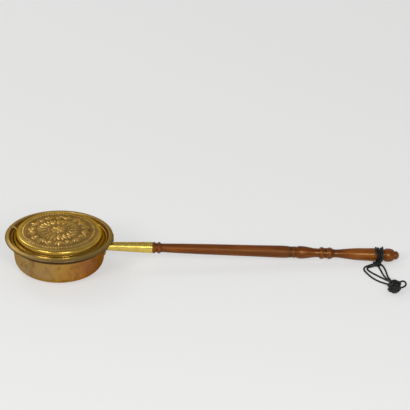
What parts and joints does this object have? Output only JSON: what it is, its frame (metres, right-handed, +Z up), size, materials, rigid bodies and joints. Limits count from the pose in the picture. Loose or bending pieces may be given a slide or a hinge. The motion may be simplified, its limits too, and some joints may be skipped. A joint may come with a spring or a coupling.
{
  "type": "warming pan",
  "caption": "Round lidded pan on a long turned handle: wired rims, a pinned knuckle hinge at the handle, a tapered ferrule and a knotted hanging lace.",
  "frame": {"origin": "centre of the pan's flat bottom, on the surface it stands on", "axes": "+X from the pan along the handle, +Z up, the lid opens about an axis along +Y at the handle side"},
  "size_m": [1.0749, 0.342, 0.1103],
  "materials": {
    "pan_sheet": "old spun brass, warm and lightly tarnished",
    "lid_sheet": "old raised brass, polished on the high parts",
    "cast_brass": "dull cast brass with dark green tarnish",
    "rivet_brass": "worn brass",
    "tab_brass": "polished brass strip",
    "ferrule_brass": "bright polished yellow brass",
    "nail_brass": "dull brass",
    "iron_wire": "dark iron",
    "turned_wood": "turned hardwood, reddish brown, polished",
    "lace": "black round leather lace"
  },
  "bodies": {
    "pan": {"pan_body": "pan_sheet", "pan_rim_wire": "iron_wire", "handle_bracket": "cast_brass", "bracket_rivets": "rivet_brass", "hinge_pin": "iron_wire", "ferrule": "ferrule_brass", "ferrule_pin": "iron_wire", "ferrule_nails": "nail_brass", "handle": "turned_wood", "cord_winding": "lace", "cord_hitch": "lace", "cord_left_outer": "lace", "cord_left_inner": "lace", "cord_right_outer": "lace", "cord_right_inner": "lace", "cord_knot": "lace", "cord_knot_loop": "lace"},
    "lid": {"lid": "lid_sheet", "lid_rim_wire": "iron_wire", "lid_hinge_leaf": "cast_brass", "hinge_rivets": "rivet_brass", "lid_lift_tab": "tab_brass", "lift_tab_rivet": "rivet_brass"}
  },
  "joints": [
    {"name": "lid_hinge", "type": "hinge", "parent": "pan", "child": "lid", "pos_m": [0.14414, 0, 0.08298], "axis": [0, 1, 0], "range_deg": [0, 165]}
  ]
}
